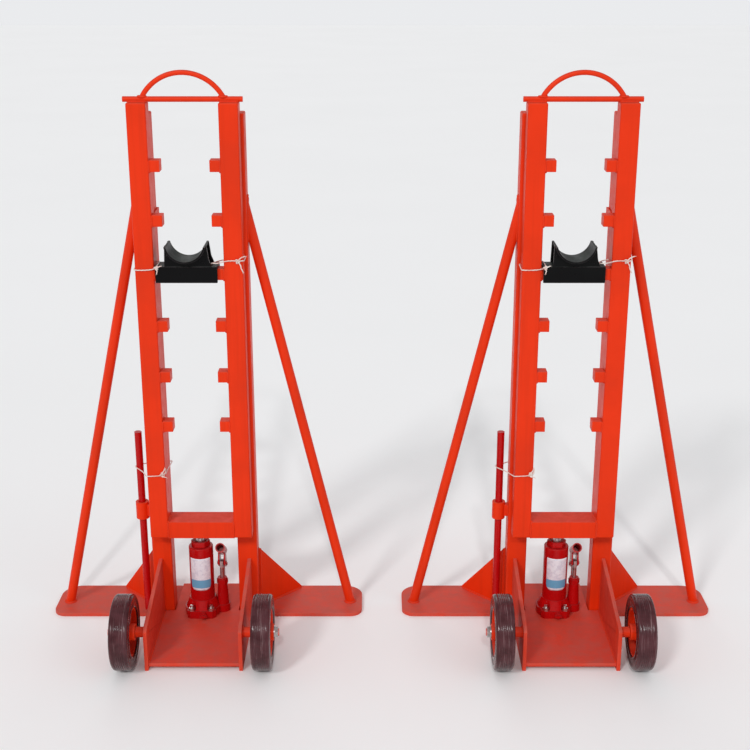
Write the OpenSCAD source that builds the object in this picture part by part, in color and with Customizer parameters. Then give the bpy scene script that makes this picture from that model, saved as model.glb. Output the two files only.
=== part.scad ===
// Pair of ladder-type hydraulic axle jack stands.
// Each stand lifts one end of an axle or spindle: a ladder with six hook levels slides up a
// fixed mast on a bottle jack, and a loose black cradle on one hook level carries the axle.
// All sizes are in millimetres. X is to the right, Y to the back, Z up.

/* [Pair] */
// Distance between the centre lines of the two stands
stand_spacing = 1000; // [960:10:1600]

/* [Ladder] */
// Width over the two ladder rails
ladder_w = 280; // [260:5:320]
// Side of the square rail tube
rail_side = 50; // [40:1:60]
// Height of the rails' lower ends
ladder_bottom_z = 270; // [262:1:300]
// Height of the rails' upper ends
ladder_top_z = 1455; // [1400:5:1500]
// Diameter of the round top bar; the carry handle's rod is 1 mm thinner
rod_d = 14; // [10:1:16]
// Length of the top bar
top_bar_l = 300; // [290:5:340]
// Rise of the carry handle's centre line above its feet
handle_rise = 59; // [40:1:80]
// Distance between the feet of the carry handle
handle_span = 202; // [150:1:240]

/* [Hooks] */
// Number of hook levels
hook_levels = 6; // [4:1:6]
// Height from one hook level to the next
hook_pitch = 140; // [130:1:150]
// Height of the top hook level's resting face
top_hook_z = 1313; // [1290:1:1320]
// Width, depth and height of one hook block
hook_size = [27, 36, 30]; // [20:1:36]

/* [Masts] */
// Width of one mast tube
mast_w = 55; // [45:1:60]
// Depth of one mast tube
mast_d = 55; // [45:1:60]
// Height of the masts' upper ends
mast_top_z = 1424; // [1380:1:1430]
// Height at which a brace's centre line meets its mast
brace_top_z = 1150; // [1000:5:1200]
// Outer diameter of the brace tubes
brace_d = 27; // [21:1:34]

/* [Base] */
// Width of the base plate
plate_w = 884; // [840:2:900]
// Front-to-back depth of the base plate
plate_d = 170; // [150:1:180]
// Thickness of the base plate and of the tray
plate_t = 10; // [8:1:12]
// Inside width of the tray
tray_w = 240; // [220:2:250]
// How far the tray reaches in front of the ladder
tray_front = 240; // [230:1:245]
// Thickness of the side plates
side_t = 10; // [8:1:12]
// Height of the side plates at the mast
side_back_h = 183; // [160:1:200]
// Height of the side plates at their front ends
side_front_h = 121; // [118:1:130]

/* [Wheels] */
// Diameter of the tyres
wheel_d = 200; // [190:2:200]
// Width of the tyres
wheel_w = 50; // [40:1:54]
// Distance of the axle line in front of the ladder
axle_front = 218; // [210:1:222]
// Diameter of the stub axles
axle_d = 20; // [16:1:22]

/* [Jack] */
// Outer diameter of the jack's oil tank
tank_d = 68; // [60:1:70]
// Diameter of the ram
ram_d = 30; // [26:1:32]
// Working stroke of the ram
ram_stroke = 130; // [100:5:130]
// Diameter of the loose pump bar
bar_d = 20; // [16:1:20]
// Length of the loose pump bar
bar_l = 545; // [450:5:600]
// Angle at which the pump lever stands, up from level
lever_angle = 32; // [0:1:38]

/* [Cradle] */
// Radius of the axle seat
seat_r = 49; // [40:1:49]
// Front-to-back length of the axle seat
seat_l = 84; // [60:1:90]
// Length of the channel that rests on the hooks
channel_l = 160; // [150:1:164]

/* [Hidden] */
$fn = 64;
SIDES = ["left", "right"];
PARTS = [
    "base_plate", "tray_floor", "side_plates", "masts", "brace_tubes", "foot_gussets",
    "handle_clip", "stub_axles", "fasteners", "jack_base", "jack_tank", "jack_cylinder",
    "pump_cylinder", "ladder_rails", "top_bar", "carry_handle", "hook_blocks", "lift_beam",
    "ladder_guides", "jack_ram", "cradle_channel", "cradle_saddle", "pump_lever",
    "pump_plunger", "release_valve", "left_tyre", "left_rim", "right_tyre", "right_rim",
    "pump_bar"
];

ORANGE = [0.90, 0.24, 0.10];
CRIMSON = [0.66, 0.05, 0.08];
STEEL = [0.75, 0.75, 0.77];
BLACK = [0.05, 0.05, 0.06];
RUBBER = [0.20, 0.12, 0.12];

eps = 1;                 // how far a cutter runs past the face it cuts
fit = 0.05;              // radial play of a turning or sliding fit
gap = 3;                 // play between the ladder and its masts
tube_t = 4;              // wall of the rails, the masts and their end caps

// Ladder, measured from its front face at y = 0
rail_x = ladder_w / 2 - rail_side / 2;
inner_x = ladder_w / 2 - rail_side;
beam_h = 48;
beam_d = 70;
beam_t = 5;
top_bar_y = rail_side / 2;
top_bar_z = ladder_top_z + rod_d / 2;
handle_d = rod_d - 1;
handle_r = (pow(handle_span / 2, 2) + pow(handle_rise, 2)) / (2 * handle_rise);
handle_z = top_bar_z + 6 + handle_rise - handle_r;
handle_angle = asin(handle_span / 2 / handle_r) + 3;
cup_r = 26;              // ring that keeps the ram head under the lift beam
cup_h = 8;
cup_bore_r = 19;
keeper_t = 8;
keeper_h = 20;
hook_y = 2;              // the hook blocks stand back from the rails' front faces

// Masts
mast_y = rail_side + gap;
mast_x = inner_x + gap + mast_w / 2;
mast_outer_x = mast_x + mast_w / 2;
mast_back_y = mast_y + mast_d;

// Base
plate_y = mast_y - gap;
plate_back_y = plate_y + plate_d;
plate_back_r = 55;
plate_front_r = 34;
floor_z = 2 * plate_t;
side_front = tray_front + 5;
side_corner = 8;         // cut off the side plates' upper front corners
tongue_inset = 5;        // from the back edge of the base plate
brace_foot = [408, 125, plate_t];
brace_head = [mast_outer_x, 80, brace_top_z];
brace_t = 3;
gusset_h = 187;
gusset_l = 160;
gusset_t = 8;
gusset_tip = 6;
gusset_start = [mast_outer_x - 2, mast_back_y - 10, plate_t];

// Wheels
axle_y = -axle_front;
axle_z = wheel_d / 2 + 1.5;
wheel_x = 183;
rim_d = 132;
boss_d = 44;
boss_l = 60;
stub_end_x = 226;
washer_t = 2.5;
axle_nut_h = 10;

// Jack
jack_x = -10;
jack_y = 50;
base_h = 22;
tank_z = floor_z + base_h;
tank_top_z = tank_z + ram_stroke + 54;
cylinder_r = 22;
piston_r = 18.5;
gland_h = 16;
pump_x = jack_x + 56;
pump_y = jack_y + 8;
pump_top_z = 122;
pump_foot_r = 17;
pump_neck_r = 13;
plunger_r = 6;
lever_arm = 24;          // from the lever's pivot to its plunger pin
pivot_y = pump_y + lever_arm;
pivot_z = 152;
plunger_rise = lever_arm * lever_angle * PI / 180;
pin_r = 4;
lever_w = 20;
socket_z = 188;          // with the lever level
socket_l = 62;
socket_floor = 6;
socket_bore_r = bar_d / 2 + 0.5;
socket_wall = 3;
stud_y = 10;
stud_dx = 27;
stud_d = 9;
valve_x = jack_x + 6;
valve_y = 6;
valve_z = floor_z + base_h / 2 + 1;
valve_bar = [20, 6, 5];  // the crossbar clears the tray as it turns

// Pump bar beside the left mast
bar_x = -173;
bar_y = 80;
bar_wall = 2.5;
clip_z = 297;
clip_h = 50;
clip_r = 18;
clip_arm = [20, 34];     // width and height of the clip's arm

// Cradle on the third hook level
cradle_x = -6;
cradle_z = top_hook_z - 2 * hook_pitch;
channel_t = 6;
channel_web = 8;
channel_d = 60;
channel_h = 43;
channel_y = -9;
seat_t = 5;
seat_z = cradle_z + channel_web + 66;
seat_tip_drop = 11;
seat_y = 14;

// The origin is on the floor, in the middle of the pair's footprint.
mid_y = (axle_y - wheel_d / 2 + plate_back_y) / 2;

// ---------- helpers ----------

// A closed rectangular tube standing at z, with its front face at y
module tube_post(x, y, z, w, d, h) {
    translate([x - w / 2, y, z])
        difference() {
            cube([w, d, h]);
            translate([tube_t, tube_t, tube_t])
                cube([w - 2 * tube_t, d - 2 * tube_t, h - 2 * tube_t]);
        }
}

// A round bar along X, centred on x = 0
module bar_x(length, d) {
    rotate([0, 90, 0]) cylinder(h = length, d = d, center = true);
}

// A round bar along -Y from the given place
module bar_y(length, r) {
    rotate([90, 0, 0]) cylinder(h = length, r = r);
}

// The waste piece that rounds one corner of a plate at the origin, in the +X +Y quadrant
module corner_waste(r) {
    translate([-r, -r])
        difference() {
            square([r + eps, r + eps]);
            circle(r = r);
        }
}

// A shape and its mirror image across the stand's centre plane
module both() {
    children();
    mirror([1, 0, 0]) children();
}

// ---------- fixed frame ----------

module base_plate() {
    color(ORANGE)
        linear_extrude(plate_t)
            difference() {
                translate([-plate_w / 2, plate_y]) square([plate_w, plate_d]);
                both() {
                    translate([plate_w / 2, plate_back_y]) corner_waste(plate_back_r);
                    translate([plate_w / 2, plate_y]) mirror([0, 1]) corner_waste(plate_front_r);
                }
            }
}

module tray_floor() {
    tongue_w = 2 * inner_x;
    color(ORANGE) {
        translate([-tray_w / 2, -tray_front, plate_t])
            cube([tray_w, tray_front + plate_y, plate_t]);
        translate([-tongue_w / 2, plate_y - eps, plate_t])
            cube([tongue_w, plate_d + eps - tongue_inset, plate_t]);
    }
}

module side_plates() {
    color(ORANGE)
        both()
            translate([tray_w / 2, 0, 0])
                rotate([90, 0, 90])
                    linear_extrude(side_t)
                        difference() {
                            polygon([
                                [-side_front, 0], [plate_y, 0], [plate_y, plate_t],
                                [mast_y, plate_t], [mast_y, side_back_h],
                                [-side_front + side_corner, side_front_h],
                                [-side_front, side_front_h - side_corner]
                            ]);
                            translate([axle_y, axle_z]) circle(d = axle_d);
                        }
}

module masts() {
    color(ORANGE)
        both() tube_post(mast_x, mast_y, plate_t, mast_w, mast_d, mast_top_z - plate_t);
}

// One brace: a round tube from the base plate up to the mast, mitred to both. The quarter
// turn about its own axis keeps the seam of the round away from the mitres' sharp tips.
module brace_tube() {
    run = brace_head - brace_foot;
    tilt = acos(run.z / norm(run));
    turn = atan2(run.y, run.x);
    spare = 100;
    intersection() {
        translate(brace_foot)
            rotate([0, tilt, turn])
                rotate([0, 0, 90])
                    difference() {
                        translate([0, 0, -spare])
                            cylinder(h = norm(run) + 2 * spare, d = brace_d);
                        translate([0, 0, -spare - eps])
                            cylinder(h = norm(run) + 2 * (spare + eps), d = brace_d - 2 * brace_t);
                    }
        translate([mast_outer_x, -spare, plate_t]) cube([plate_w / 2, 4 * spare, mast_top_z]);
    }
}

module brace_tubes() {
    color(ORANGE) both() brace_tube();
}

module foot_gussets() {
    color(ORANGE)
        both()
            difference() {
                translate(gusset_start)
                    rotate([90, 0, 45])
                        linear_extrude(gusset_t, center = true)
                            polygon([
                                [0, 0], [gusset_l, 0], [gusset_l, gusset_tip], [0, gusset_h]
                            ]);
                translate([mast_outer_x - mast_w, 0, 0]) cube([mast_w, plate_back_y, 2 * gusset_h]);
            }
}

module handle_clip() {
    color(ORANGE)
        translate([bar_x, bar_y, clip_z])
            difference() {
                union() {
                    cylinder(h = clip_h, r = clip_r);
                    translate([0, -clip_arm.x / 2, (clip_h - clip_arm.y) / 2])
                        cube([-mast_outer_x - bar_x, clip_arm.x, clip_arm.y]);
                }
                translate([0, 0, -eps]) cylinder(h = clip_h + 2 * eps, r = bar_d / 2 + 0.5);
            }
}

module stub_axles() {
    collar_x = tray_w / 2 + side_t;
    collar_l = wheel_x - boss_l / 2 - collar_x - 1;
    color(ORANGE)
        both() {
            translate([tray_w / 2, axle_y, axle_z])
                rotate([0, 90, 0]) cylinder(h = stub_end_x - tray_w / 2, d = axle_d);
            translate([collar_x, axle_y, axle_z])
                rotate([0, 90, 0]) cylinder(h = collar_l, d = axle_d + 8);
        }
}

// Axle washers and nuts, and the two studs and nuts that hold the jack down
module fasteners() {
    washer_x = wheel_x + boss_l / 2 + 0.5;
    color(STEEL) {
        both()
            translate([washer_x, axle_y, axle_z])
                rotate([0, 90, 0])
                    difference() {
                        union() {
                            cylinder(h = washer_t, d = axle_d + 16);
                            cylinder(h = axle_nut_h, d = axle_d + 12, $fn = 6);
                        }
                        translate([0, 0, -eps]) cylinder(h = axle_nut_h + 2 * eps, d = axle_d);
                    }
        for (x = [jack_x - stud_dx, jack_x + stud_dx])
            translate([x, stud_y, floor_z]) {
                cylinder(h = base_h + 16, d = stud_d);
                translate([0, 0, base_h]) cylinder(h = 8, d = 2 * stud_d, $fn = 6);
            }
    }
}

// ---------- bottle jack, fixed pieces ----------

// The casting under the jack: a round foot with a collar round the tank, a front lug for the
// studs, a boss for the pump and a post that carries the pump lever's pivot
module jack_base() {
    foot_r = 50;
    lug = [80, 40, 9];       // width, depth and cut corners
    collar_h = 26;
    boss_r = 20;
    post = [10, 12];
    eye_d = 17;
    stud_x = [jack_x - stud_dx, jack_x + stud_dx];
    color(CRIMSON)
        difference() {
            union() {
                translate([jack_x, jack_y, floor_z]) cylinder(h = base_h, r = foot_r);
                translate([jack_x, 0, floor_z])
                    linear_extrude(base_h)
                        polygon([
                            [-lug.x / 2, lug.y], [-lug.x / 2, lug.z], [-lug.x / 2 + lug.z, 0],
                            [lug.x / 2 - lug.z, 0], [lug.x / 2, lug.z], [lug.x / 2, lug.y]
                        ]);
                translate([jack_x, pump_y - boss_r, floor_z])
                    cube([pump_x - jack_x, 2 * boss_r, base_h]);
                translate([pump_x, pump_y, floor_z]) cylinder(h = base_h, r = boss_r);
                translate([pump_x - post.x / 2, pivot_y - post.y / 2, floor_z])
                    cube([post.x, post.y, pivot_z - floor_z]);
                translate([pump_x, pivot_y, pivot_z]) bar_x(post.x, eye_d);
                difference() {
                    translate([jack_x, jack_y, tank_z])
                        cylinder(h = collar_h, r1 = foot_r - 3, r2 = tank_d / 2 + 3);
                    translate([jack_x, jack_y, tank_z]) cylinder(h = collar_h + eps, d = tank_d);
                    translate([pump_x, pump_y, tank_z])
                        cylinder(h = collar_h + eps, r = pump_foot_r + eps);
                    for (x = stud_x)
                        translate([x, stud_y, tank_z]) cylinder(h = collar_h + eps, r = stud_d + 2);
                }
            }
            translate([pump_x, pivot_y, pivot_z]) bar_x(post.x + 2 * eps, 2 * (pin_r + fit));
            translate([jack_x, jack_y, tank_z - 6]) cylinder(h = 10, r = cylinder_r);
            translate([valve_x, valve_y + 14, valve_z]) bar_y(40, 6 + fit);
            for (x = stud_x)
                translate([x, stud_y, floor_z - eps]) cylinder(h = base_h + 2 * eps, d = stud_d);
        }
}

module jack_tank() {
    tank_t = 2.5;
    lid_t = 4;
    color(CRIMSON)
        translate([jack_x, jack_y, tank_z])
            difference() {
                cylinder(h = tank_top_z - tank_z, d = tank_d);
                translate([0, 0, -eps])
                    cylinder(h = tank_top_z - tank_z - lid_t + eps, d = tank_d - 2 * tank_t);
                cylinder(h = tank_top_z, r = cylinder_r);
            }
}

// Pressure cylinder with the hexagonal gland nut on its top
module jack_cylinder() {
    foot_z = tank_z - 6;
    end_t = 4;
    gland_r = 27;
    color(CRIMSON)
        translate([jack_x, jack_y, foot_z])
            difference() {
                union() {
                    cylinder(h = tank_top_z - foot_z, r = cylinder_r);
                    translate([0, 0, tank_top_z - foot_z]) cylinder(h = gland_h, r = gland_r, $fn = 6);
                }
                translate([0, 0, end_t])
                    cylinder(h = tank_top_z - foot_z - 2 * end_t, r = piston_r + fit);
                translate([0, 0, end_t]) cylinder(h = tank_top_z, r = ram_d / 2 + fit);
                translate([0, 0, -eps]) cylinder(h = end_t + 2 * eps, r = 5);
            }
}

module pump_cylinder() {
    height = pump_top_z - tank_z;
    hex_h = 14;
    color(CRIMSON)
        translate([pump_x, pump_y, tank_z])
            difference() {
                union() {
                    cylinder(h = height, r1 = pump_foot_r, r2 = pump_neck_r);
                    translate([0, 0, height - hex_h - 4])
                        cylinder(h = hex_h, r = pump_neck_r + 3, $fn = 6);
                }
                translate([0, 0, 4]) cylinder(h = height, r = plunger_r + fit);
            }
}

// ---------- bottle jack, moving pieces ----------

module jack_ram() {
    piston_z = tank_z + 4;
    head_z = ladder_bottom_z - 10;
    head_r = 17;
    neck_r = 10;
    color(STEEL)
        translate([jack_x, jack_y, 0]) {
            translate([0, 0, piston_z]) cylinder(h = 14, r = piston_r);
            translate([0, 0, piston_z]) cylinder(h = head_z - 8 - piston_z, r = ram_d / 2);
            translate([0, 0, head_z - 9]) cylinder(h = 10, r = neck_r);
            translate([0, 0, head_z]) cylinder(h = 10, r = head_r);
        }
}

module pump_plunger() {
    head = [8, 24, 20];
    foot_z = tank_z + 10;
    slot_r = pin_r + 2;
    slot_l = 8;              // the pin's travel along the slot
    slot_y = pump_y - 1;
    color(STEEL)
        translate([0, 0, plunger_rise])
            difference() {
                union() {
                    translate([pump_x, pump_y, foot_z])
                        cylinder(h = pivot_z - 8 - foot_z, r = plunger_r);
                    translate([pump_x - head.x / 2, pump_y - 10, pivot_z - head.z / 2]) cube(head);
                }
                for (y = [slot_y, slot_y + slot_l])
                    translate([pump_x, y, pivot_z]) bar_x(lever_w, 2 * slot_r);
                translate([pump_x - lever_w / 2, slot_y, pivot_z - slot_r])
                    cube([lever_w, slot_l, 2 * slot_r]);
            }
}

// Two cheeks on two pins carry a socket for the pump bar. The lever is drawn level and then
// turned up about its pivot.
module pump_lever() {
    cheek_t = 4;
    pin_l = 26;
    cheek = [
        [pump_y - 8, pivot_z - 8], [pivot_y + 6, pivot_z - 8], [pivot_y + 9, pivot_z + 3],
        [socket_l, socket_z + 4], [pump_y - 24, socket_z - 2], [pump_y - 18, socket_z - 12]
    ];
    color(CRIMSON)
        translate([pump_x, pivot_y, pivot_z])
            rotate([-lever_angle, 0, 0])
                translate([0, -pivot_y, -pivot_z])
                    difference() {
                        union() {
                            for (x = [-lever_w / 2, lever_w / 2 - cheek_t])
                                translate([x, 0, 0])
                                    rotate([90, 0, 90]) linear_extrude(cheek_t) polygon(cheek);
                            for (y = [pump_y, pivot_y])
                                translate([0, y, pivot_z]) bar_x(pin_l, 2 * pin_r);
                            translate([0, socket_l, socket_z])
                                bar_y(socket_l, socket_bore_r + socket_wall);
                        }
                        translate([0, socket_l - socket_floor, socket_z])
                            bar_y(socket_l, socket_bore_r);
                    }
}

module release_valve() {
    color(CRIMSON)
        translate([valve_x, valve_y, valve_z]) {
            translate([0, 12, 0]) bar_y(18, 6);
            translate([0, -6, 0]) bar_y(8, 9, $fn = 48);
            translate([0, -14, 0]) bar_y(6, 5);
            translate([-valve_bar.x / 2, -20, -valve_bar.z / 2]) cube(valve_bar);
        }
}

module pump_bar() {
    end_t = 4;
    color(CRIMSON)
        translate([bar_x, bar_y, plate_t])
            difference() {
                cylinder(h = bar_l, d = bar_d);
                translate([0, 0, end_t]) cylinder(h = bar_l - 2 * end_t, d = bar_d - 2 * bar_wall);
            }
}

// ---------- ladder ----------

module ladder_rails() {
    color(ORANGE)
        both()
            tube_post(rail_x, 0, ladder_bottom_z, rail_side, rail_side,
                      ladder_top_z - ladder_bottom_z);
}

module top_bar() {
    color(ORANGE) translate([0, top_bar_y, top_bar_z]) bar_x(top_bar_l, rod_d);
}

// Bent rod that stands on the top bar, cut to the bar's round at both feet
module carry_handle() {
    color(ORANGE)
        difference() {
            intersection() {
                translate([0, top_bar_y, handle_z])
                    rotate([90, 0, 0])
                        rotate([0, 0, 90 - handle_angle])
                            rotate_extrude(angle = 2 * handle_angle)
                                translate([handle_r, 0]) circle(d = handle_d);
                translate([-top_bar_l / 2, 0, top_bar_z]) cube([top_bar_l, rail_side, 200]);
            }
            translate([0, top_bar_y, top_bar_z]) bar_x(top_bar_l, rod_d);
        }
}

module hook_blocks() {
    hook_x = inner_x - hook_size.x;
    color(ORANGE)
        for (level = [0:hook_levels - 1])
            both()
                translate([hook_x, hook_y, top_hook_z - level * hook_pitch - hook_size.z])
                    cube(hook_size);
}

// Box beam that the jack pushes up, with a ring that keeps the ram head in place
module lift_beam() {
    color(ORANGE) {
        translate([-inner_x, 0, ladder_bottom_z])
            difference() {
                cube([2 * inner_x, beam_d, beam_h]);
                translate([beam_t, beam_t, beam_t])
                    cube([2 * (inner_x - beam_t), beam_d - 2 * beam_t, beam_h - 2 * beam_t]);
            }
        translate([jack_x, jack_y, ladder_bottom_z - cup_h])
            difference() {
                intersection() {
                    cylinder(h = cup_h, r = cup_r);
                    translate([-cup_r, -cup_r, 0]) cube([2 * cup_r, cup_r + beam_d - jack_y, cup_h]);
                }
                translate([0, 0, -eps]) cylinder(h = cup_h + 2 * eps, r = cup_bore_r);
            }
    }
}

// Keeper bar behind the masts at the foot, and at hook level two a strap from the back of each
// rail round the inner side and the back of its mast
module ladder_guides() {
    back_y = mast_back_y + gap;
    keeper_z = ladder_bottom_z + 6;
    keeper_inset = 12;
    arm_w = 30;
    strap_t = 4;
    strap_x = inner_x - strap_t / 2;
    strap_wrap = 34;
    strap_z = top_hook_z - hook_pitch - hook_size.z;
    color(ORANGE) {
        translate([-mast_outer_x + keeper_inset, back_y, keeper_z])
            cube([2 * (mast_outer_x - keeper_inset), keeper_t, keeper_h]);
        both() {
            translate([inner_x - arm_w - 4, beam_d, keeper_z])
                cube([arm_w, back_y - beam_d + eps, keeper_h]);
            translate([strap_x, rail_side, strap_z])
                cube([strap_t, back_y + strap_t - rail_side, hook_size.z]);
            translate([strap_x, back_y, strap_z])
                cube([strap_t + strap_wrap, strap_t, hook_size.z]);
        }
    }
}

// ---------- cradle ----------

module cradle_channel() {
    color(BLACK)
        translate([cradle_x - channel_l / 2, channel_y, cradle_z + channel_web - channel_h])
            difference() {
                cube([channel_l, channel_d, channel_h]);
                translate([-eps, channel_t, -eps])
                    cube([
                        channel_l + 2 * eps, channel_d - 2 * channel_t, channel_h - channel_web + eps
                    ]);
            }
}

// Curved axle seat on a front and a back cheek plate
module cradle_saddle() {
    outer_r = seat_r + seat_t;
    top_z = cradle_z + channel_web;
    tip_z = seat_z - seat_tip_drop;
    color(BLACK)
        translate([cradle_x, 0, 0]) {
            intersection() {
                translate([0, seat_y + seat_l / 2, seat_z])
                    rotate([90, 0, 0])
                        difference() {
                            cylinder(h = seat_l, r = outer_r);
                            translate([0, 0, -eps]) cylinder(h = seat_l + 2 * eps, r = seat_r);
                        }
                translate([-100, -100, tip_z - 100]) cube([200, 200, 100]);
            }
            for (y = [channel_y, channel_y + channel_d - channel_t])
                translate([0, y + channel_t, 0])
                    rotate([90, 0, 0])
                        linear_extrude(channel_t)
                            difference() {
                                polygon([
                                    [-outer_r - 2, top_z], [outer_r + 12, top_z],
                                    [outer_r + 5, top_z + 18], [outer_r, tip_z],
                                    [-outer_r, tip_z]
                                ]);
                                translate([0, seat_z]) circle(r = seat_r + 1);
                            }
        }
}

// ---------- wheels ----------

module tyre(x) {
    color(RUBBER)
        translate([x, axle_y, axle_z])
            rotate([0, 90, 0])
                rotate_extrude()
                    difference() {
                        translate([rim_d / 2, -wheel_w / 2])
                            square([(wheel_d - rim_d) / 2, wheel_w]);
                        for (z = [-wheel_w / 2, wheel_w / 2])
                            translate([wheel_d / 2, z]) circle(r = 6, $fn = 4);
                    }
}

module rim(x) {
    web_t = 12;
    color(ORANGE)
        translate([x, axle_y, axle_z])
            rotate([0, 90, 0])
                difference() {
                    union() {
                        cylinder(h = boss_l, d = boss_d, center = true);
                        cylinder(h = web_t, d = rim_d - 2, center = true);
                        difference() {
                            cylinder(h = wheel_w - 6, d = rim_d, center = true);
                            cylinder(h = wheel_w, d = rim_d - 16, center = true);
                        }
                    }
                    cylinder(h = boss_l + 2 * eps, d = axle_d + 2 * fit, center = true);
                }
}

// ---------- both stands ----------

module stand(name) {
    base_plate();
    tray_floor();
    side_plates();
    masts();
    brace_tubes();
    foot_gussets();
    handle_clip();
    stub_axles();
    fasteners();
    jack_base();
    jack_tank();
    jack_cylinder();
    pump_cylinder();
    ladder_rails();
    top_bar();
    carry_handle();
    hook_blocks();
    lift_beam();
    ladder_guides();
    jack_ram();
    cradle_channel();
    cradle_saddle();
    pump_lever();
    pump_plunger();
    release_valve();
    tyre(-wheel_x);
    rim(-wheel_x);
    tyre(wheel_x);
    rim(wheel_x);
    pump_bar();
}

translate([-stand_spacing / 2, -mid_y, 0]) stand("left_stand");
translate([stand_spacing / 2, -mid_y, 0]) stand("right_stand");
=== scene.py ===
"""Looks for a pair of ladder-type hydraulic axle jack stands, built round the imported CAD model.

The CAD parts keep their shape and get rounded edges and painted, steel or rubber finishes. This
script adds what the CAD model leaves out: weld beads, tyre treads, threads, split pins, the label
on the jack's tank and the string ties that hold the cradle and the pump bar.
Lengths are in metres unless a comment or docstring says millimetres. Most places on a stand are
taken from the boxes of its CAD parts.
"""
import math
import random

import bpy
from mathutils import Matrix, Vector, noise


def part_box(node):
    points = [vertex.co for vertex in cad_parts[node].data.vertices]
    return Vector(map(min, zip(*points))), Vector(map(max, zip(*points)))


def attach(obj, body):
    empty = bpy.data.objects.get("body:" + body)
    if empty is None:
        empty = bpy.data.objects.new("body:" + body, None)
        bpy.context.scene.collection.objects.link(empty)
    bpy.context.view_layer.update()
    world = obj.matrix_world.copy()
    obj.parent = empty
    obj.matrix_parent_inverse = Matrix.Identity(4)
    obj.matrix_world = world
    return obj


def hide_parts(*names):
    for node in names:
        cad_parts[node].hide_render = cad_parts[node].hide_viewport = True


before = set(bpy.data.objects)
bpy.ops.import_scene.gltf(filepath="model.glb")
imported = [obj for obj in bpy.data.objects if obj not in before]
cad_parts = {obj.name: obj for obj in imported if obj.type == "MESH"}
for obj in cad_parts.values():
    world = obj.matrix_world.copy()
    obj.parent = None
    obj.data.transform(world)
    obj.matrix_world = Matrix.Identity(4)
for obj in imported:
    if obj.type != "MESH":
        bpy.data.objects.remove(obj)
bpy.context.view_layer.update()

STANDS = ("left_stand", "right_stand")
TAU = 2 * math.pi
MM = 0.001

# Places and sizes inside the CAD parts that their boxes don't give, in millimetres
MAST_SIDE = 55
BRACE_FOOT_INSET, BRACE_FOOT_Y = 14.5, 124.5
BRACE_HEAD_Y, BRACE_HEAD_Z = 80, 1150
GUSSET_L = 148
HOOK_LEVELS, HOOK_H = 6, 30
HANDLE_FOOT_X = 101
TYRE_BORE = 132
STUDS_X, STUD_Y, STUD_THREAD_Z = (-37, 17), 10, 50.2
LEVER_PIVOT, LEVER_ARM, LEVER_ANGLE = Vector((46, 82, 152)), 24, math.radians(32)
LABEL_FOOT, LABEL_TOP, LABEL_BAND = 100, 198, (107, 132)


# ---------- camera and light ----------

def aim(obj, target):
    """Turns a light or camera at target."""
    obj.rotation_mode = "QUATERNION"
    obj.rotation_quaternion = (Vector(target) - obj.location).to_track_quat("-Z", "Y")


def make_camera():
    """One camera midway before the pair, at head height and tilted down."""
    tilt = 18.3
    data = bpy.data.cameras.new("camera")
    data.lens = 62.0
    camera = bpy.data.objects.new("camera", data)
    camera.location = (-0.02, -3.2, 1.82)
    camera.rotation_euler = (math.radians(90 - tilt), 0, 0)
    bpy.context.collection.objects.link(camera)
    bpy.context.scene.camera = camera


def sun(name, way, strength, softness):
    """A distant lamp that shines along way; softness is its angular width in degrees."""
    data = bpy.data.lights.new(name, "SUN")
    data.energy = strength
    data.angle = math.radians(softness)
    light = bpy.data.objects.new(name, data)
    aim(light, way)
    bpy.context.collection.objects.link(light)


def make_lights():
    """A soft white room: a key lamp from the front left, a narrow lamp from straight in front
    that glints on round parts, weak lamps at the right and back, and an even sky that lights the
    object less than it shows."""
    sun("key", (0.42, 0.72, -0.62), 0.95, 9)
    sun("front", (0.0, 0.80, -0.60), 0.55, 3)
    sun("fill", (-0.75, 0.45, -0.35), 0.25, 40)
    sun("back", (0.10, -0.80, -0.50), 0.35, 30)
    world = bpy.data.worlds.new("studio")
    world.use_nodes = True
    tree = world.node_tree
    sky = tree.nodes["Background"]
    sky.inputs["Color"].default_value = (0.97, 0.98, 1.0, 1)
    seen = tree.nodes.new("ShaderNodeLightPath").outputs["Is Camera Ray"]
    level = tree.nodes.new("ShaderNodeMapRange")
    level.inputs["To Min"].default_value = 0.55
    level.inputs["To Max"].default_value = 0.85
    tree.links.new(seen, level.inputs["Value"])
    tree.links.new(level.outputs["Result"], sky.inputs["Strength"])
    bpy.context.scene.world = world
    bpy.context.scene.view_settings.view_transform = "Standard"


# ---------- materials ----------

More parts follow.
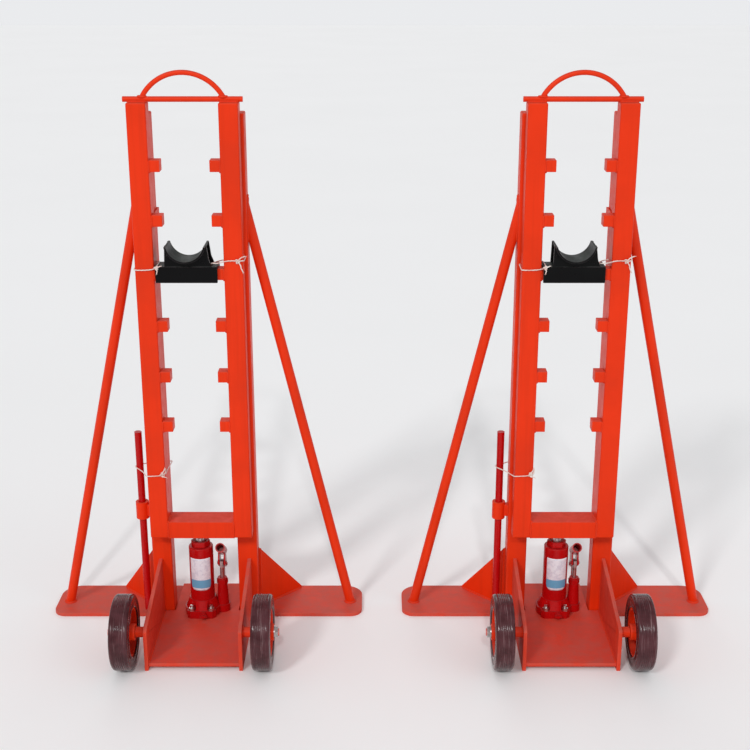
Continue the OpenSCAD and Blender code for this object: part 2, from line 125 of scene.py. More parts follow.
class Shader:
    """A new material and short calls for building its nodes."""

    def __init__(self, name):
        self.material = bpy.data.materials.new(name)
        self.material.use_nodes = True
        self.nodes = self.material.node_tree.nodes
        self.surface = self.nodes["Principled BSDF"]
        self.place = self.node("ShaderNodeTexCoord").outputs["Object"]

    def node(self, kind, inputs=(), **settings):
        """A node with settings as its properties and inputs as a dict of values or sockets."""
        made = self.nodes.new(kind)
        for key, value in settings.items():
            setattr(made, key, value)
        for key, value in dict(inputs).items():
            self.feed(made.inputs[key], value)
        return made

    def feed(self, socket, value):
        """Links a socket to value, or sets it where value is a plain number, colour or vector."""
        if isinstance(value, bpy.types.NodeSocket):
            self.material.node_tree.links.new(value, socket)
        else:
            socket.default_value = value

    def set(self, **values):
        """Sets the surface's own inputs: underscores in a name stand for spaces."""
        for key, value in values.items():
            self.feed(self.surface.inputs[key.replace("_", " ")], value)

    def stretched(self, scale):
        made = self.node("ShaderNodeMapping", {"Vector": self.place, "Scale": scale})
        return made.outputs["Vector"]

    def noise(self, scale, detail=3.0, rough=0.55, stretch=None):
        place = self.stretched(stretch) if stretch else self.place
        made = self.node("ShaderNodeTexNoise", {
            "Vector": place, "Scale": scale, "Detail": detail, "Roughness": rough})
        return made.outputs["Fac"]

    def maths(self, operation, a, b):
        return self.node("ShaderNodeMath", {0: a, 1: b}, operation=operation).outputs[0]

    def span(self, value, low, high, to_low=0.0, to_high=1.0):
        """Maps low..high to to_low..to_high, smoothly and held at both ends."""
        made = self.node("ShaderNodeMapRange", {
            "Value": value, "From Min": low, "From Max": high,
            "To Min": to_low, "To Max": to_high}, interpolation_type="SMOOTHSTEP")
        return made.outputs["Result"]

    def mix(self, share, a, b):
        made = self.node("ShaderNodeMix", data_type="RGBA")
        for socket, value in ((made.inputs[0], share), (made.inputs[6], a), (made.inputs[7], b)):
            self.feed(socket, value)
        return made.outputs[2]

    def facing_up(self):
        normal = self.node("ShaderNodeNewGeometry").outputs["Normal"]
        split = self.node("ShaderNodeSeparateXYZ", {"Vector": normal})
        return split.outputs["Z"]

    def near_edge(self, radius):
        """1 within about radius of a sharp edge, 0 on the flat."""
        flat = self.node("ShaderNodeNewGeometry").outputs["Normal"]
        rounded = self.node("ShaderNodeBevel", {"Radius": radius}, samples=4).outputs["Normal"]
        same = self.node("ShaderNodeVectorMath", {0: flat, 1: rounded}, operation="DOT_PRODUCT")
        return self.span(same.outputs["Value"], 0.995, 0.9)

    def bump(self, height, strength, distance):
        made = self.node("ShaderNodeBump", {
            "Height": height, "Strength": strength, "Distance": distance})
        self.feed(self.surface.inputs["Normal"], made.outputs["Normal"])


def rgb(red, green, blue):
    return (red, green, blue, 1.0)


def paint(name, face, dust_and_sheen, worn, rough, dust_and_sheen_share=0.85, side_dust_and_sheen=0.0, wear=0.5, shine=0.2):
    """Sprayed enamel: uneven film, vertical runs and rubbed edges, with a second colour laid in
    patches on what faces up, and on what faces sideways as far as the side share says: dust on the
    orange and red paints, painted sheen on the black paint."""
    s = Shader(name)
    cloud = s.noise(5, 4)
    runs = s.noise(1, 3, 0.6, stretch=(70, 70, 2.4))
    grit = s.noise(38, 6, 0.7)
    shade = tuple(0.78 * c for c in face[:3]) + (1,)
    tint = s.mix(s.span(cloud, 0.35, 0.7, 0, 0.55), face, shade)
    tint = s.mix(s.span(runs, 0.45, 0.75, 0, 0.4), tint, shade)
    patches = s.noise(16, 5, 0.65)
    # Where the second colour lies, mostly on what faces up: dust on the orange and red paints, painted
    # sheen on the black paint
    up = s.span(s.facing_up(), 0.3, 0.95, side_dust_and_sheen, 1)
    dust_and_sheen_cover = s.maths("MULTIPLY", up, s.span(grit, 0.25, 0.65, 0.55 * dust_and_sheen_share, dust_and_sheen_share))
    dust_and_sheen_cover = s.maths("MULTIPLY", dust_and_sheen_cover, s.span(patches, 0.35, 0.65, 0.72, 1.08))
    film = s.maths("ADD", dust_and_sheen_cover, s.span(cloud, 0.5, 0.75, 0.0, 0.08))
    tint = s.mix(film, tint, dust_and_sheen)
    rubbed = s.maths("MULTIPLY", s.near_edge(0.003), s.span(grit, 0.38, 0.62, 0.1, 1))
    tint = s.mix(s.maths("MULTIPLY", rubbed, wear), tint, worn)
    peel = s.noise(620, 2)
    s.set(Base_Color=tint,
          Roughness=s.maths("ADD", s.span(grit, 0.3, 0.7, rough, rough + 0.12),
                            s.maths("MULTIPLY", film, 0.3)),
          Specular_IOR_Level=shine)
    s.bump(s.maths("ADD", s.maths("MULTIPLY", peel, 0.35), cloud), 0.22, 0.0015)
    return s.material


def bare_steel():
    """Zinc-plated and machined steel with fine scratches and a little grime."""
    s = Shader("bare_steel")
    grit = s.noise(90, 5, 0.65)
    lines = s.noise(1, 2, 0.5, stretch=(900, 900, 60))
    tint = s.mix(s.span(grit, 0.45, 0.75, 0, 0.7), rgb(0.60, 0.59, 0.58), rgb(0.24, 0.22, 0.21))
    s.set(Base_Color=tint, Metallic=1.0, Roughness=s.span(lines, 0.3, 0.7, 0.24, 0.46))
    s.bump(lines, 0.15, 0.0004)
    return s.material


def tyre_rubber():
    """Solid rubber, maroon, with chalky streaks that run round the tread."""
    s = Shader("tyre_rubber")
    streaks = s.noise(1, 4, 0.7, stretch=(260, 11, 11))
    cloud = s.noise(28, 4, 0.6)
    crumbs = s.noise(480, 3, 0.6)
    tint = s.mix(s.span(cloud, 0.3, 0.7), rgb(0.045, 0.0075, 0.010), rgb(0.085, 0.022, 0.027))
    chalk = s.maths("MULTIPLY", s.span(streaks, 0.52, 0.72), s.span(cloud, 0.25, 0.6, 0.35, 0.9))
    tint = s.mix(chalk, tint, rgb(0.21, 0.12, 0.125))
    s.set(Base_Color=tint, Roughness=s.span(streaks, 0.35, 0.7, 0.12, 0.30),
          Specular_IOR_Level=0.3)
    s.bump(s.maths("ADD", crumbs, streaks), 0.16, 0.0005)
    return s.material


def tie_string():
    """Undyed cotton twine with a pink cast from the paint that rubs off on it."""
    s = Shader("tie_string")
    fibres = s.noise(1500, 3, 0.7)
    cloud = s.noise(60, 2)
    tint = s.mix(s.span(cloud, 0.35, 0.7), rgb(0.84, 0.76, 0.70), rgb(0.80, 0.50, 0.44))
    tint = s.mix(s.span(fibres, 0.45, 0.75, 0, 0.35), tint, rgb(0.45, 0.33, 0.28))
    s.set(Base_Color=tint, Roughness=0.88, Sheen_Weight=0.35, Sheen_Roughness=0.4)
    s.bump(fibres, 0.6, 0.0006)
    return s.material


def label_paper():
    """A blank white sticker with a faint cloud and one blue band along its foot."""
    s = Shader("label_paper")
    height = s.node("ShaderNodeSeparateXYZ", {"Vector": s.place}).outputs["Z"]
    cloud = s.noise(75, 3, 0.6)
    grime = s.noise(240, 4, 0.7)
    tint = s.mix(s.span(cloud, 0.45, 0.62, 0, 0.4), rgb(0.80, 0.79, 0.84), rgb(0.45, 0.43, 0.55))
    low, high = (MM * edge for edge in LABEL_BAND)
    band = s.maths("MULTIPLY", s.span(height, low - MM, low + MM),
                   s.span(height, high + MM, high - MM))
    tint = s.mix(band, tint, rgb(0.13, 0.38, 0.58))
    tint = s.mix(s.span(grime, 0.55, 0.8, 0, 0.35), tint, rgb(0.35, 0.20, 0.19))
    s.set(Base_Color=tint, Roughness=0.38)
    s.bump(grime, 0.1, 0.0003)
    return s.material


FACE_ORANGE, RUBBED_ORANGE = rgb(0.80, 0.036, 0.004), rgb(0.70, 0.13, 0.075)
ORANGE = paint("orange_paint", FACE_ORANGE, rgb(0.56, 0.058, 0.030), RUBBED_ORANGE, 0.34,
               wear=0.4, shine=0.14)
DUSTY_ORANGE = paint("dusty_orange_paint", FACE_ORANGE, rgb(0.52, 0.100, 0.076), RUBBED_ORANGE,
                     0.40, dust_and_sheen_share=0.97, side_dust_and_sheen=0.85, wear=0.4, shine=0.14)
TRAY_ORANGE = paint("tray_orange_paint", FACE_ORANGE, rgb(0.55, 0.085, 0.062), RUBBED_ORANGE,
                    0.36, dust_and_sheen_share=0.97, side_dust_and_sheen=0.85, wear=0.5, shine=0.14)
PLATE_ORANGE = paint("side_plate_paint", FACE_ORANGE, rgb(0.54, 0.105, 0.080), RUBBED_ORANGE, 0.36,
                     dust_and_sheen_share=0.97, side_dust_and_sheen=0.4, wear=0.6, shine=0.14)
CRIMSON = paint("red_paint", rgb(0.50, 0.003, 0.004), rgb(0.30, 0.020, 0.022),
                rgb(0.22, 0.04, 0.04), 0.20, dust_and_sheen_share=0.5, wear=0.5, shine=0.2)
# The black paint's grey-green second colour is painted sheen, laid like dust on what faces up
BLACK = paint("black_paint", rgb(0.0030, 0.0028, 0.0032), rgb(0.030, 0.040, 0.036),
              rgb(0.09, 0.075, 0.08), 0.26, dust_and_sheen_share=0.9, wear=0.6, shine=0.10)
STEEL = bare_steel()
RUBBER = tyre_rubber()
STRING = tie_string()
LABEL = label_paper()

# Material and edge radius in millimetres of each CAD part; 0 leaves its edges as they are
FINISH = {
    "base_plate": (DUSTY_ORANGE, 1.2), "tray_floor": (TRAY_ORANGE, 1.2),
    "side_plates": (PLATE_ORANGE, 1.2),
    "masts": (ORANGE, 4.0), "brace_tubes": (ORANGE, 0), "foot_gussets": (ORANGE, 1.0),
    "handle_clip": (ORANGE, 1.0), "stub_axles": (ORANGE, 1.0), "fasteners": (STEEL, 0.6),
    "jack_base": (CRIMSON, 3.0), "jack_tank": (CRIMSON, 3.5), "jack_cylinder": (CRIMSON, 1.5),
    "pump_cylinder": (CRIMSON, 1.0), "ladder_rails": (ORANGE, 4.0), "top_bar": (ORANGE, 3.0),
    "carry_handle": (ORANGE, 0), "hook_blocks": (ORANGE, 1.6), "lift_beam": (ORANGE, 3.0),
    "ladder_guides": (ORANGE, 1.2), "jack_ram": (STEEL, 1.0), "cradle_channel": (BLACK, 2.0),
    "cradle_saddle": (BLACK, 1.0), "pump_lever": (CRIMSON, 1.0), "pump_plunger": (STEEL, 0.5),
    "release_valve": (CRIMSON, 0.8), "left_rim": (ORANGE, 1.5), "right_rim": (ORANGE, 1.5),
    "pump_bar": (CRIMSON, 1.5), "left_tyre": (RUBBER, 0), "right_tyre": (RUBBER, 0),
}


def finish_part(obj, material, radius):
    """Gives a CAD part its material and rounds its sharp edges."""
    obj.data.materials.clear()
    obj.data.materials.append(material)
    if not radius:
        return
    weld = obj.modifiers.new("join_faces", "WELD")
    weld.merge_threshold = 1e-5
    bevel = obj.modifiers.new("round_edges", "BEVEL")
    bevel.width = radius * MM
    bevel.segments = 2
    bevel.limit_method = "ANGLE"
    bevel.angle_limit = math.radians(38)
    shade = obj.modifiers.new("shade", "WEIGHTED_NORMAL")
    shade.weight = 80
    for face in obj.data.polygons:
        face.use_smooth = True


def finish_parts():
    for stand in STANDS:
        for part, (material, radius) in FINISH.items():
            finish_part(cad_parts[f"{stand}_{part}"], material, radius)


# ---------- mesh helpers ----------

def piece(name, body, material, vertices, faces):
    """A smooth mesh that rides on a CAD body."""
    mesh = bpy.data.meshes.new(name)
    mesh.from_pydata([tuple(v) for v in vertices], [], faces)
    mesh.validate()
    mesh.materials.append(material)
    for face in mesh.polygons:
        face.use_smooth = True
    obj = bpy.data.objects.new(name, mesh)
    bpy.context.collection.objects.link(obj)
    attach(obj, body)
    return obj


def curve_points(points, step, closed=False):
    """Points about step apart on a smooth curve through the given points."""
    points = [Vector(p) for p in points]
    count = len(points)
    found = []
    for i in range(count if closed else count - 1):
        if closed:
            a, b, c, d = (points[(i + k) % count] for k in (-1, 0, 1, 2))
        else:
            a, b, c, d = (points[min(max(i + k, 0), count - 1)] for k in (-1, 0, 1, 2))
        parts = max(1, round((c - b).length / step))
        for j in range(parts):
            t = j / parts
            found.append(0.5 * (2 * b + (c - a) * t + (2 * a - 5 * b + 4 * c - d) * t * t
                                + (3 * b - 3 * c + d - a) * t ** 3))
    if not closed:
        found.append(points[-1])
    return found


class Shape:
    """Vertices and faces that grow into one mesh."""

    def __init__(self):
        self.vertices = []
        self.faces = []

    def sweep(self, path, section, sides, closed=False):
        """Sweeps section(k, angle) -> radius along path, on a frame that doesn't twist."""
        start = len(self.vertices)
        count = len(path)
        along = [(path[(i + 1) % count if closed else min(i + 1, count - 1)]
                  - path[i - 1 if closed else max(i - 1, 0)]).normalized() for i in range(count)]
        side = along[0].orthogonal().normalized()
        turned = []
        for way in along:
            side = (side - way * side.dot(way)).normalized()
            turned.append((side.copy(), way.cross(side)))
        slip = 0.0
        if closed:
            first, other = turned[0]
            last = (side - along[0] * side.dot(along[0])).normalized()
            slip = math.atan2(last.dot(other), last.dot(first))
        for k, (centre, (u, v)) in enumerate(zip(path, turned)):
            for j in range(sides):
                angle = TAU * j / sides
                turn = angle - slip * k / count
                radius = section(k, angle)
                self.vertices.append(
                    centre + u * (radius * math.cos(turn)) + v * (radius * math.sin(turn)))
        for k in range(count if closed else count - 1):
            a, b = start + k * sides, start + (k + 1) % count * sides
            for j in range(sides):
                n = (j + 1) % sides
                self.faces.append((a + j, a + n, b + n, b + j))
        if not closed:
            self.faces.append(tuple(start + j for j in reversed(range(sides))))
            self.faces.append(tuple(start + (count - 1) * sides + j for j in range(sides)))

    def lathe(self, profile, centre, axis, segments):
        """Turns a closed profile of (along, radius) points about an axis through centre."""
        start = len(self.vertices)
        count = len(profile)
        axis = Vector(axis)
        u = axis.orthogonal().normalized()
        v = axis.cross(u)
        for k in range(segments):
            angle = TAU * k / segments
            out = u * math.cos(angle) + v * math.sin(angle)
            self.vertices += [Vector(centre) + axis * a + out * r for a, r in profile]
        for k in range(segments):
            a, b = start + k * count, start + (k + 1) % segments * count
            for j in range(count):
                n = (j + 1) % count
                self.faces.append((a + j, a + n, b + n, b + j))


# ---------- one stand ----------

class Stand:
    """Places on one stand. at(x, y, z) takes millimetres from the stand's centre line, the
    front of its ladder and the floor, and gives a place in the frame."""

    def __init__(self, name):
        self.name = name
        low, high = self.box("ladder_rails")
        self.origin = Vector(((low.x + high.x) / 2, low.y, 0))

    def box(self, part):
        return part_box(f"{self.name}_{part}")

    def local(self, part):
        """A part's lowest and highest corners in the stand's own millimetres."""
        return [(corner - self.origin) / MM for corner in self.box(part)]

    def at(self, x, y, z):
        return self.origin + Vector((x, y, z)) * MM

    def half(self, sign):
        """at() for one half of the stand: x grows outwards, to the right where sign is 1."""
        return lambda x, y, z: self.at(sign * x, y, z)

    def piece(self, name, body, slot, material, shape):
        """Makes a shape a piece that rides on one of the stand's bodies."""
        return piece(f"{self.name}_{name}", f"{self.name}_{body}", material,
                     shape.vertices, shape.faces)


# ---------- weld beads ----------

def bead(shape, points, radius, closed=False):
    """A weld bead with its ripples along straight or bent runs."""
    step, ripple = 1.3 * MM, 3.4 * MM
    path = curve_points(points, step, closed)

    def section(k, angle):
        swell = 1 + 0.14 * math.sin(TAU * k * step / ripple + 0.6 * math.sin(angle))
        lump = 1 + 0.22 * noise.noise(path[k] * 170)
        end = 1.0 if closed else min(1.0, 0.35 + 0.3 * min(k, len(path) - 1 - k))
        return radius * swell * lump * end

    shape.sweep(path, section, 8, closed)


def straight(shape, a, b, radius):
    """A bead along one straight seam; its radius is in millimetres."""
    bead(shape, [a, b], radius * MM)


def ring(centre, u, v, count=16):
    """Points on an ellipse with half-axes u and v."""
    return [Vector(centre) + Vector(u) * math.cos(TAU * k / count)
            + Vector(v) * math.sin(TAU * k / count) for k in range(count)]


def round_seam(shape, centre, u, v, radius, count=16):
    """A bead round an ellipse; its half-axes and radius are in millimetres."""
    bead(shape, ring(centre, Vector(u) * MM, Vector(v) * MM, count), radius * MM, closed=True)


def gusset_welds(shape, stand, at):
    """Beads on both sides of a foot gusset, along the plate and up the mast."""
    plate_top = stand.local("base_plate")[1].z
    gusset_top = stand.local("foot_gussets")[1].z
    mast_high = stand.local("masts")[1]
    seam = Vector((mast_high.x - 2, mast_high.y - 10, 0))
    slant = Vector((1, 1, 0)).normalized()
    for offset, gap in ((-4.6, 6), (4.6, 3)):
        across = Vector((-slant.y, slant.x, 0)) * offset
        start = seam + across + slant * gap
        foot = start + slant * GUSSET_L
        straight(shape, at(start.x, start.y, plate_top + 1), at(foot.x, foot.y, plate_top + 1), 3.0)
        straight(shape, at(start.x - 1, start.y - 1, plate_top + 4),
                 at(start.x - 1, start.y - 1, gusset_top - 5), 3.0)


def frame_welds(stand):
    """Beads along the tray and round the feet of masts and braces, gussets, axles and clip."""
    shape = Shape()
    mast_low, mast_high = stand.local("masts")
    tray_low, tray_high = stand.local("tray_floor")
    plate_top = stand.local("base_plate")[1].z
    brace_high = stand.local("brace_tubes")[1]
    side_high = stand.local("side_plates")[1]
    axle_low, axle_high = stand.local("stub_axles")
    clip_low, clip_high = stand.local("handle_clip")
    mast_inner = mast_high.x - MAST_SIDE
    axle_y, axle_z = (axle_low.y + axle_high.y) / 2, (axle_low.z + axle_high.z) / 2
    mast_corners = [(mast_inner, mast_low.y), (mast_high.x, mast_low.y),
                    (mast_high.x, mast_high.y), (mast_inner, mast_high.y)]
    for sign in (-1, 1):
        at = stand.half(sign)
        tray_x, tray_z = tray_high.x - 0.4, tray_high.z + 0.4
        straight(shape, at(tray_x, tray_low.y + 4, tray_z), at(tray_x, mast_low.y - 9, tray_z), 2.6)
        side_x, side_y = tray_high.x + 0.5, mast_low.y - 1.5
        straight(shape, at(side_x, side_y, tray_high.z + 2), at(side_x, side_y, side_high.z - 2), 2.6)
        for (x0, y0), (x1, y1) in zip(mast_corners, mast_corners[1:] + mast_corners[:1]):
            straight(shape, at(x0, y0, plate_top + 0.8), at(x1, y1, plate_top + 0.8), 3.2)
        round_seam(shape, at(brace_high.x - BRACE_FOOT_INSET, BRACE_FOOT_Y, plate_top + 0.8),
                   (14.2, 0, 0), (0, 13.9, 0), 3.2)
        round_seam(shape, at(mast_high.x + 0.6, BRACE_HEAD_Y, BRACE_HEAD_Z),
                   (0, 14, 0), (0, 2, 60), 3.0, 24)
        gusset_welds(shape, stand, at)
        round_seam(shape, at(side_high.x + 0.5, axle_y, axle_z), (0, 14.2, 0), (0, 0, 14.2), 2.2)
    clip_x = -mast_high.x - 0.6
    for y in (clip_low.y + 7.5, clip_high.y - 7.5):
        straight(shape, stand.at(clip_x, y, clip_low.z + 9), stand.at(clip_x, y, clip_high.z - 9), 2.4)
    stand.piece("frame_welds", "frame", "orange_paint", ORANGE, shape)


def ladder_welds(stand):
    """Beads at the hook blocks, the lift beam, the top bar and the feet of the carry handle."""
    shape = Shape()
    hook_low, hook_high = stand.local("hook_blocks")
    beam_top = stand.local("lift_beam")[1].z
    rail_low, rail_high = stand.local("ladder_rails")
    bar_low, bar_high = stand.local("top_bar")
    bar_middle = (bar_low + bar_high) / 2
    pitch = (hook_high.z - hook_low.z - HOOK_H) / (HOOK_LEVELS - 1)
    inner = hook_high.x
    for sign in (-1, 1):
        at = stand.half(sign)
        for level in range(HOOK_LEVELS):
            top = hook_high.z - pitch * level
            bottom = top - HOOK_H
            straight(shape, at(inner + 0.2, hook_low.y - 0.4, bottom + 1),
                     at(inner + 0.2, hook_low.y - 0.4, top - 1), 2.2)
            straight(shape, at(inner - 0.8, hook_low.y + 1, bottom - 0.6),
                     at(inner - 0.8, hook_high.y - 1, bottom - 0.6), 2.6)
        beam_x, back = inner - 0.6, rail_high.y - 2
        straight(shape, at(beam_x, 1, beam_top + 0.6), at(beam_x, back, beam_top + 0.6), 3.0)
        straight(shape, at(inner + 0.2, -0.2, rail_low.z + 2),
                 at(inner + 0.2, -0.2, beam_top - 2), 2.2)
        straight(shape, at(beam_x, 2, rail_low.z), at(beam_x, back, rail_low.z), 2.4)
        for y in (bar_low.y + 1.6, bar_high.y - 1.6):
            straight(shape, at(inner + 1, y, rail_high.z + 1.2),
                     at(rail_high.x - 1, y, rail_high.z + 1.2), 3.2)
        round_seam(shape, at(HANDLE_FOOT_X, bar_middle.y, bar_middle.z + 6),
                   (9.5, 0, 0), (0, 6.6, 0), 3.2, 12)
    stand.piece("ladder_welds", "ladder", "orange_paint", ORANGE, shape)


def cradle_welds(stand):
    """Beads along the axle seat's feet and three short tacks on its front cheek."""
    shape = Shape()
    channel_low, channel_high = stand.local("cradle_channel")
    saddle_low, saddle_high = stand.local("cradle_saddle")
    middle = (channel_low.x + channel_high.x) / 2
    top = channel_high.z
    for y in (channel_low.y - 0.3, channel_high.y + 0.3):
        straight(shape, stand.at(saddle_low.x + 1, y, top), stand.at(saddle_high.x - 1, y, top), 1.8)
    tack_y = channel_low.y - 0.2
    for x, rise in ((saddle_low.x + 9, 30), (middle, 6), (saddle_high.x - 22, 34)):
        straight(shape, stand.at(x - 3, tack_y, top + rise),
                 stand.at(x + 3, tack_y, top + rise - 3), 2.6)
    stand.piece("cradle_welds", "cradle", "black_paint", BLACK, shape)


# ---------- wheels ----------

def tread_profile(width, inner, outer):
    """A solid tyre's section: rounded shoulders, fine ribs round the tread, moulded side rings."""
    half = width / 2
    ring_depth = 1.4 * MM
    side = [(-half, inner), (-half, inner + 6 * MM), (-half + ring_depth, inner + 8 * MM),
            (-half + ring_depth, outer - 15 * MM), (-half, outer - 13 * MM)]
    shoulder, steps = 7.5 * MM, 5
    for k in range(steps + 1):
        turn = math.radians(90) * k / steps
        side.append((-half + shoulder * (1 - math.cos(turn)),
                     outer - shoulder * (1 - math.sin(turn))))
    ribs, groove = 7, 0.7 * MM
    start = shoulder - half
    pitch = (width - 2 * shoulder) / ribs
    tread = []
    for k in range(1, ribs):
        x = start + pitch * k
        tread += [(x - 0.9 * MM, outer), (x - 0.3 * MM, outer - groove),
                  (x + 0.3 * MM, outer - groove), (x + 0.9 * MM, outer)]
    return side + tread + [(-x, r) for x, r in reversed(side)]


def tyres(stand):
    """Ribbed tyres in place of the CAD model's plain ones."""
    for side in ("left", "right"):
        low, high = stand.box(f"{side}_tyre")
        shape = Shape()
        profile = tread_profile(high.x - low.x, TYRE_BORE / 2 * MM, (high.z - low.z) / 2)
        shape.lathe(profile, (low + high) / 2, (1, 0, 0), 112)
        tyre = stand.piece(f"{side}_tyre_tread", f"{side}_wheel", "rubber", RUBBER, shape)
        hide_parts(f"{stand.name}_{side}_tyre")


# ---------- threads, pins and label ----------

def thread(shape, start, way, length, radius, pitch):
    """A screw thread: a ridge that winds round a rod from start along way."""
    around = 18
    way = Vector(way)
    u = way.orthogonal().normalized()
    v = way.cross(u)
    steps = int(around * length / pitch)
    path = [Vector(start) + way * (length * k / steps)
            + (u * math.cos(TAU * k / around) + v * math.sin(TAU * k / around)) * radius
            for k in range(steps + 1)]

    def section(k, angle):
        return 0.42 * pitch * min(1, 0.2 + k / 6, 0.2 + (steps - k) / 6)

    shape.sweep(path, section, 5)


def threads(stand):
    """Threads on the ends of the stub axles and of the jack's front studs."""
    shape = Shape()
    axle_low, axle_high = stand.local("stub_axles")
    axle_y, axle_z = (axle_low.y + axle_high.y) / 2, (axle_low.z + axle_high.z) / 2
    for sign in (-1, 1):
        start = stand.at(sign * (axle_high.x - 3.2), axle_y, axle_z)
        thread(shape, start, (sign, 0, 0), 3.0 * MM, 9.8 * MM, 1.0 * MM)
    for x in STUDS_X:
        thread(shape, stand.at(x, STUD_Y, STUD_THREAD_Z), (0, 0, 1), 5.4 * MM, 4.4 * MM, 1.0 * MM)
    stand.piece("threads", "frame", "bare_steel", STEEL, shape)


def split_pins(stand):
    """Split pins through the ends of the pump lever's two pins."""
    shape = Shape()
    reach = Vector((0, -LEVER_ARM * math.cos(LEVER_ANGLE), LEVER_ARM * math.sin(LEVER_ANGLE)))
    pin_end, eye_radius = 11.4, 2.2
    eye = ring((0, 0, 6.6), (0, eye_radius, 0), (0, 0, eye_radius), 8)[:7]
    legs = [Vector((0, 0.6, -4.5)), Vector((0, 2.6, -7.5))]
    for pin in (LEVER_PIVOT, LEVER_PIVOT + reach):
        for sign in (-1, 1):
            centre = pin + Vector((sign * pin_end, 0, 0))
            path = curve_points([stand.at(*(centre + p)) for p in eye + legs], 0.6 * MM)
            shape.sweep(path, lambda k, angle: 0.75 * MM, 6)
    stand.piece("split_pins", "lever", "bare_steel", STEEL, shape)


def tank_label(stand):
    """A sticker wrapped on the front of the oil tank, with a rounded foot."""
    low, high = stand.box("jack_tank")
    centre = (low + high) / 2
    radius = (high.x - low.x) / 2 + 0.25 * MM
    half_turn, corner, thickness = math.radians(52), 16 * MM, 0.35 * MM
    foot, top = LABEL_FOOT * MM, LABEL_TOP * MM
    columns, rows = 36, 24
    shape = Shape()
    for r in (radius, radius + thickness):
        for i in range(columns + 1):
            turn = half_turn * (2 * i / columns - 1)
            inset = max(0.0, abs(turn) * radius - (half_turn * radius - corner))
            bottom = foot + corner - math.sqrt(max(0.0, corner ** 2 - inset ** 2))
            for j in range(rows + 1):
                z = bottom + (top - bottom) * j / rows
                shape.vertices.append(
                    (centre.x + r * math.sin(turn), centre.y - r * math.cos(turn), z))

    def quad(*corners):
        """A face from corners that are each a column, a row and a layer: 0 inner, 1 outer."""
        shape.faces.append(tuple(k * (columns + 1) * (rows + 1) + i * (rows + 1) + j
                                 for i, j, k in corners))

    for i in range(columns):
        for j in range(rows):
            quad((i, j, 1), (i + 1, j, 1), (i + 1, j + 1, 1), (i, j + 1, 1))
            quad((i, j, 0), (i, j + 1, 0), (i + 1, j + 1, 0), (i + 1, j, 0))
        quad((i, 0, 0), (i + 1, 0, 0), (i + 1, 0, 1), (i, 0, 1))
        quad((i, rows, 1), (i + 1, rows, 1), (i + 1, rows, 0), (i, rows, 0))
    for j in range(rows):
        quad((0, j, 1), (0, j + 1, 1), (0, j + 1, 0), (0, j, 0))
        quad((columns, j, 0), (columns, j + 1, 0), (columns, j + 1, 1), (columns, j, 1))
    stand.piece("tank_label", "frame", "label_paper", LABEL, shape)


# ---------- string ties ----------

TWINE = 1.35 * MM


def twine(shape, points, closed=False, radius=TWINE):
    """Three-strand twine laid along a smooth curve."""
    step, lay = 0.9 * MM, 9.0 * MM
    path = curve_points(points, step, closed)
    turns = max(1, round(len(path) * step / lay))

    def section(k, angle):
        return radius * (1 + 0.20 * math.cos(3 * (angle + TAU * turns * k / len(path) / 3)))

    shape.sweep(path, section, 12, closed)


def knot(shape, centre, size, tilt=0.0):
    """An overhand knot pulled fairly tight, facing the front."""
    count = 18
    points = []
    for k in range(count):
        t = TAU * k / count
        x = (math.sin(t) + 2 * math.sin(2 * t)) / 3
        z = (math.cos(t) - 2 * math.cos(2 * t)) / 3
        y = -math.sin(3 * t) * 0.42
        points.append(centre + Vector((
            x * math.cos(tilt) - z * math.sin(tilt), y,
            x * math.sin(tilt) + z * math.cos(tilt))) * size)
    twine(shape, points, closed=True, radius=TWINE * 1.05)


def tail(shape, points, rng):
    """A loose end that frays into a few fibres."""
    twine(shape, points)
    end = Vector(points[-1])
    way = (end - Vector(points[-2])).normalized()
    for _ in range(5):
        spread = Vector((rng.uniform(-1, 1), rng.uniform(-1, 0.2), rng.uniform(-1, 1)))
        tip = end + (way * 4 + spread * 1.8) * MM
        fibre = curve_points([end - way * 1.0 * MM, (end + tip) / 2 + spread * 0.3 * MM, tip],
                             1.0 * MM)
        shape.sweep(fibre, lambda k, angle: 0.42 * MM, 5)


def cradle_ties(stand):
    """Two loops of twine that tie the cradle's channel to the ladder rails."""
    rng = random.Random(7)
    shape = Shape()
    at = stand.at
    front, gap = -2.2, 51.5
    left = [(-82, -12, 1039), (-92, -4.5, 1034), (-102, front, 1031.5), (-120, front, 1030.5),
            (-138, front, 1031), (-142.2, 1.5, 1031.5), (-142.2, 25, 1032.5), (-142.2, 48, 1033.5),
            (-138, gap, 1034), (-115, gap, 1036), (-95, gap, 1039), (-86, 50, 1042.4),
            (-82, 40, 1043.2), (-81, 20, 1043.2), (-81, -2, 1043.2), (-81.5, -10, 1042)]
    twine(shape, [at(*p) for p in left], closed=True)
    knot(shape, at(-82, -13.5, 1039), 5.2 * MM, 0.4)
    tail(shape, [at(-80, -14, 1040), at(-76, -15, 1042), at(-71, -14, 1044)], rng)
    tail(shape, [at(-83, -14, 1037), at(-80, -15.5, 1032), at(-81, -15, 1026)], rng)
    right = [(128, front - 1.5, 1055), (116, front, 1055.5), (98, front, 1054.5),
             (86, -4.5, 1052), (72, -7, 1050), (60, -2, 1049), (57, 8, 1045), (60, 25, 1043.2),
             (69, 44, 1043.2), (80, gap, 1044.5), (95, gap, 1047), (118, gap, 1050),
             (138, gap, 1052), (142.2, 48, 1053), (142.2, 25, 1054), (142.2, 2, 1055),
             (138, front, 1055.5)]
    twine(shape, [at(*p) for p in right], closed=True)
    knot(shape, at(127, -5.0, 1054.5), 5.6 * MM, -0.3)
    tail(shape, [at(128, -6, 1057), at(133, -7.5, 1062), at(139, -7, 1066), at(146, -6, 1068)], rng)
    tail(shape, [at(129, -6, 1052), at(134, -7.5, 1045), at(136, -7, 1036), at(140, -6, 1027)], rng)
    stand.piece("cradle_ties", "cradle", "tie_string", STRING, shape)


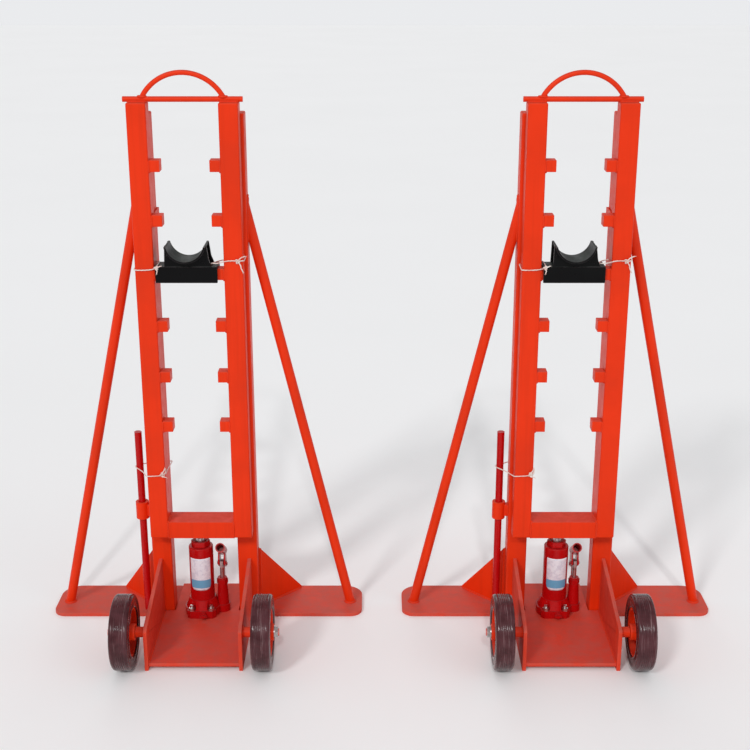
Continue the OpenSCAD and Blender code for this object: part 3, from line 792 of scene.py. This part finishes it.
def bar_tie(stand):
    """The twine that holds the pump bar to the mast and the ladder rail beside it."""
    rng = random.Random(11)
    shape = Shape()
    at = stand.at
    front = -2.2
    loop = [(-185, 80, 452), (-180, 68, 452), (-160, 40, 453), (-144, 4, 455), (-138, front, 456),
            (-120, front, 456.5), (-104, front, 458), (-93, front, 462), (-87.8, 2, 464),
            (-87.8, 25, 464), (-87.8, 48, 462), (-87.8, 80, 458), (-87.8, 106, 456),
            (-92, 110.2, 455.5), (-120, 110.2, 454), (-146, 110.2, 453), (-160, 101, 452.5),
            (-176, 92, 452), (-183, 87, 452)]
    twine(shape, [at(*p) for p in loop], closed=True)
    knot(shape, at(-98, -5, 461), 6.4 * MM, 0.9)
    twine(shape, [at(-104, -4.5, 459), at(-98, -7, 466), at(-91, -5, 474), at(-88.5, 1, 476),
                  at(-89, -4, 468), at(-96, -7, 462)])
    tail(shape, [at(-97, -6, 459), at(-92, -7, 456), at(-88, -6, 454)], rng)
    tail(shape, [at(-100, -6, 464), at(-95, -7.5, 470), at(-90, -6, 479)], rng)
    stand.piece("bar_tie", "frame", "tie_string", STRING, shape)


# ---------- floor ----------

def make_floor():
    """A wide flat floor in a pale, almost even finish."""
    s = Shader("floor")
    cloud = s.noise(0.7, 2)
    s.set(Base_Color=s.mix(cloud, rgb(0.90, 0.90, 0.90), rgb(0.93, 0.93, 0.93)), Roughness=0.8,
          Specular_IOR_Level=0.1)
    reach = 30.0
    mesh = bpy.data.meshes.new("floor")
    mesh.from_pydata([(-reach, -reach, 0), (reach, -reach, 0), (reach, reach, 0),
                      (-reach, reach, 0)], [], [(0, 1, 2, 3)])
    mesh.materials.append(s.material)
    floor = bpy.data.objects.new("floor", mesh)
    bpy.context.collection.objects.link(floor)


make_camera()
make_lights()
make_floor()
finish_parts()
for name in STANDS:
    stand = Stand(name)
    frame_welds(stand)
    ladder_welds(stand)
    cradle_welds(stand)
    tyres(stand)
    threads(stand)
    split_pins(stand)
    tank_label(stand)
    cradle_ties(stand)
    bar_tie(stand)
